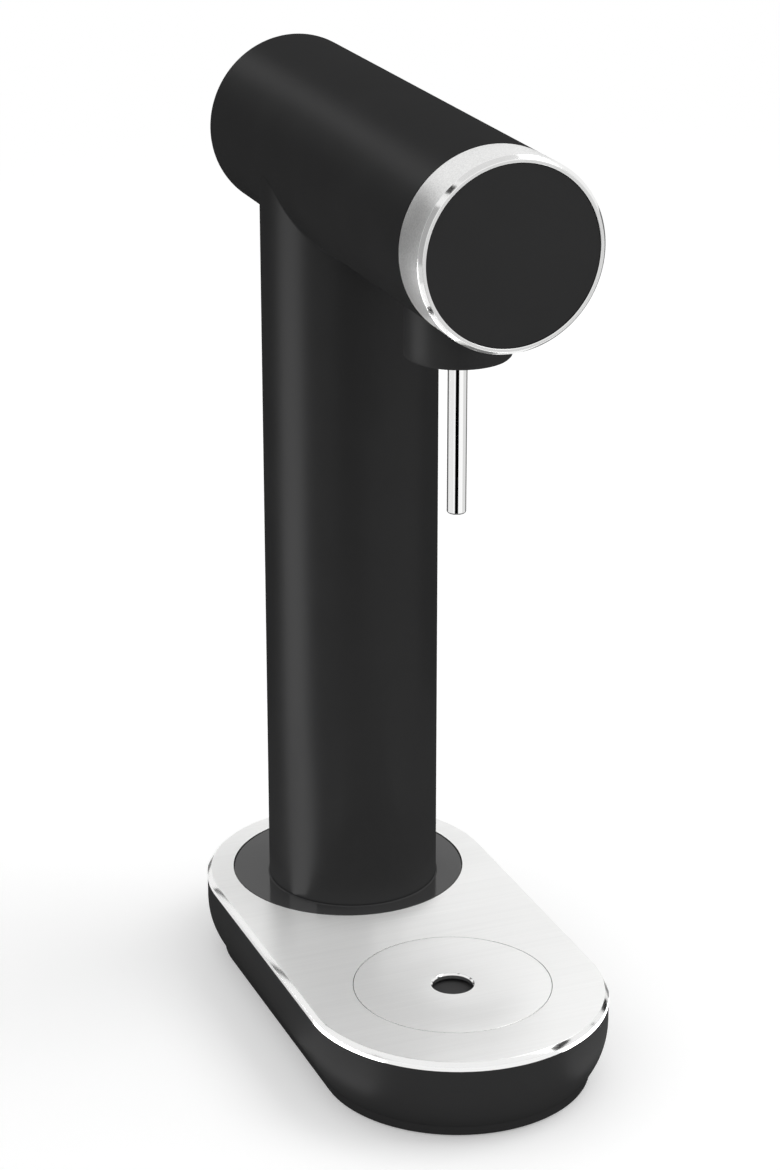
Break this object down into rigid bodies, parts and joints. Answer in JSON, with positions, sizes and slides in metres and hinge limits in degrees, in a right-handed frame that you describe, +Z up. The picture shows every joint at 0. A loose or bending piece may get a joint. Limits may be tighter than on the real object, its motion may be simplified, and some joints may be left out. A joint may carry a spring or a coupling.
{
  "type": "soda carbonator",
  "caption": "T-shaped countertop soda carbonator: cylindrical head with a steel turning knob, bottle socket with nozzle, column on a round-ended base with steel deck.",
  "frame": {"origin": "on the floor under the middle of the base, where the foot pads rest", "axes": "+Z up, front with the knob towards -Y, +X to the right seen from the front"},
  "size_m": [0.139, 0.273, 0.4375],
  "materials": {
    "body_black": "satin black powder coat",
    "shell_black": "fine-grained moulded black",
    "plinth_black": "semi-gloss black",
    "face_black": "fine matt black",
    "brushed_steel": "brushed, edges polished",
    "polished_steel": "polished",
    "fastener_steel": "plain zinc-plated steel",
    "brass": "turned",
    "aluminium": "machined",
    "rubber": "matt",
    "nylon": "natural"
  },
  "bodies": {
    "frame": {"column_tube": "body_black", "head_tube": "body_black", "rear_cap": "body_black", "base_shell": "shell_black", "base_floor": "shell_black", "bottle_socket": "shell_black", "cover_sill": "shell_black", "plinth_disc": "plinth_black", "deck_plate": "brushed_steel", "nozzle_tube": "polished_steel", "nozzle_nut": "polished_steel", "floor_screws": "fastener_steel", "deck_screws": "fastener_steel", "clamp_screws": "fastener_steel", "column_set_screws": "fastener_steel", "cover_magnets": "fastener_steel", "block_screws": "fastener_steel", "plunger_spring": "fastener_steel", "stop_pin": "fastener_steel", "return_spring": "fastener_steel", "socket_screws": "fastener_steel", "plate_screws": "fastener_steel", "socket_plate": "fastener_steel", "relief_spring": "fastener_steel", "valve_block": "brass", "injector": "brass", "inlet_fitting": "brass", "outlet_fitting": "brass", "relief_valve_body": "brass", "relief_cap": "brass", "front_bush": "brass", "rear_bush": "brass", "column_clamp": "aluminium", "valve_bracket": "aluminium", "front_bulkhead": "aluminium", "rear_bearing_plate": "aluminium", "foot_pads": "rubber", "cylinder_seal": "rubber", "bottle_seal": "rubber", "gas_tube": "nylon"},
    "knob": {"knob_ring": "brushed_steel", "knob_face": "face_black", "knob_hub": "shell_black", "knob_screws": "fastener_steel", "hub_screw": "fastener_steel", "knob_shaft": "fastener_steel", "shaft_clip": "fastener_steel", "cam": "aluminium", "cam_screw": "fastener_steel", "spring_collar": "aluminium", "collar_screw": "fastener_steel"},
    "plunger": {"plunger": "fastener_steel"},
    "gas_cylinder": {"gas_cylinder": "aluminium", "cylinder_valve": "brass"},
    "valve_pin": {"valve_pin": "fastener_steel"},
    "rear_cover": {"rear_cover": "body_black", "cover_strikes": "fastener_steel"},
    "drip_tray": {"drip_tray": "shell_black"},
    "coaster": {"coaster_disc": "brushed_steel"},
    "relief_poppet": {"relief_poppet": "brass"}
  },
  "joints": [
    {"name": "knob_turn", "type": "hinge", "parent": "frame", "child": "knob", "pos_m": [0, 0, 0.3965], "axis": [0, 1, 0], "range_deg": [0, 60], "stiffness_Nm_per_rad": 0.5},
    {"name": "plunger_press", "type": "slide", "parent": "frame", "child": "plunger", "axis": [0, 0, -1], "range_m": [0, 0.003], "deforming": ["plunger_spring"]},
    {"name": "cylinder_unscrew", "type": "slide", "parent": "frame", "child": "gas_cylinder", "axis": [0, 0, -1], "range_m": [0, 0.012]},
    {"name": "valve_pin_press", "type": "slide", "parent": "gas_cylinder", "child": "valve_pin", "axis": [0, 0, -1], "range_m": [0, 0.003]},
    {"name": "rear_cover_off", "type": "slide", "parent": "frame", "child": "rear_cover", "axis": [0, 1, 0], "range_m": [0, 0.065]},
    {"name": "tray_lift", "type": "slide", "parent": "frame", "child": "drip_tray", "axis": [0, 0, 1], "range_m": [0, 0.06]},
    {"name": "coaster_lift", "type": "slide", "parent": "drip_tray", "child": "coaster", "axis": [0, 0, 1], "range_m": [0, 0.05]},
    {"name": "relief_open", "type": "slide", "parent": "frame", "child": "relief_poppet", "axis": [1, 0, 0], "range_m": [0, 0.0015], "stiffness_N_per_m": 400, "deforming": ["relief_spring"]}
  ],
  "couplings": [
    {"joint": "plunger_press", "follows": "knob_turn", "m_per_rad": 0.00286},
    {"joint": "valve_pin_press", "follows": "knob_turn", "m_per_rad": 0.00286}
  ]
}
